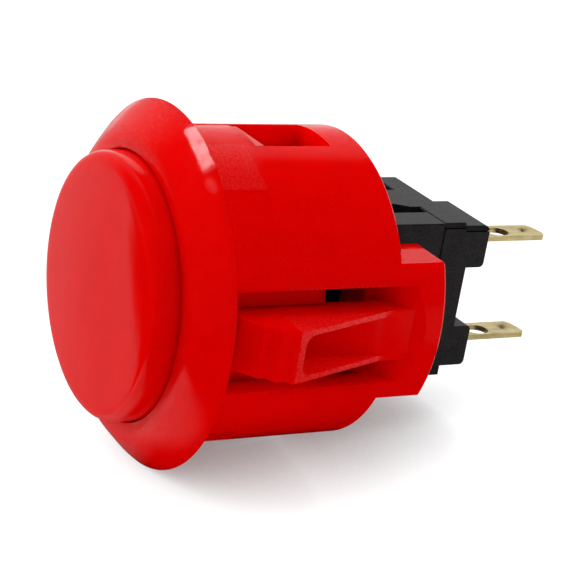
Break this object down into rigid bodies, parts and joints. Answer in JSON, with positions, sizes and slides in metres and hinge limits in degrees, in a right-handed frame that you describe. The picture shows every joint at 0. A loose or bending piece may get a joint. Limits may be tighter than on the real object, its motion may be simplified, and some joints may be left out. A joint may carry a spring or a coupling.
{
  "type": "arcade push button",
  "caption": "Snap-in arcade push button: domed red plunger in a round rimmed barrel with stepped snap tongues, and a black push switch with blade terminals behind.",
  "frame": {"origin": "centre of the plane of the rim's underside, where the button seats on the panel's front", "axes": "+Z out of the panel towards the user, against the press; +X through the middle of a snap tongue; +Y through the middle of a side window"},
  "size_m": [0.0338, 0.0326, 0.0443],
  "materials": {
    "housing_plastic": "satin, spark-eroded texture",
    "plunger_plastic": "smooth satin",
    "switch_plastic": "matte",
    "actuator_plastic": "satin",
    "contact_metal": "bare",
    "contact_silver": "bare silver alloy",
    "spring_steel": "drawn wire",
    "terminal_plating": "pale gold plating"
  },
  "bodies": {
    "housing": {"button_housing": "housing_plastic", "switch_cover": "switch_plastic", "switch_base": "switch_plastic", "terminal_common": "terminal_plating", "terminal_open": "terminal_plating", "fixed_contact_common": "contact_silver", "fixed_contact_open": "contact_silver", "return_spring": "spring_steel"},
    "plunger": {"button_plunger": "plunger_plastic"},
    "actuator": {"switch_actuator": "actuator_plastic", "contact_bridge": "contact_metal", "moving_contact_common": "contact_silver", "moving_contact_open": "contact_silver"}
  },
  "joints": [
    {"name": "button_press", "type": "slide", "parent": "housing", "child": "plunger", "axis": [0, 0, -1], "range_m": [0, 0.0026], "stiffness_N_per_m": 150, "springref_m": -0.003},
    {"name": "actuator_press", "type": "slide", "parent": "housing", "child": "actuator", "axis": [0, 0, -1], "range_m": [0, 0.0026], "deforming": ["return_spring"]}
  ],
  "couplings": [
    {"joint": "actuator_press", "follows": "button_press", "ratio": 1}
  ]
}
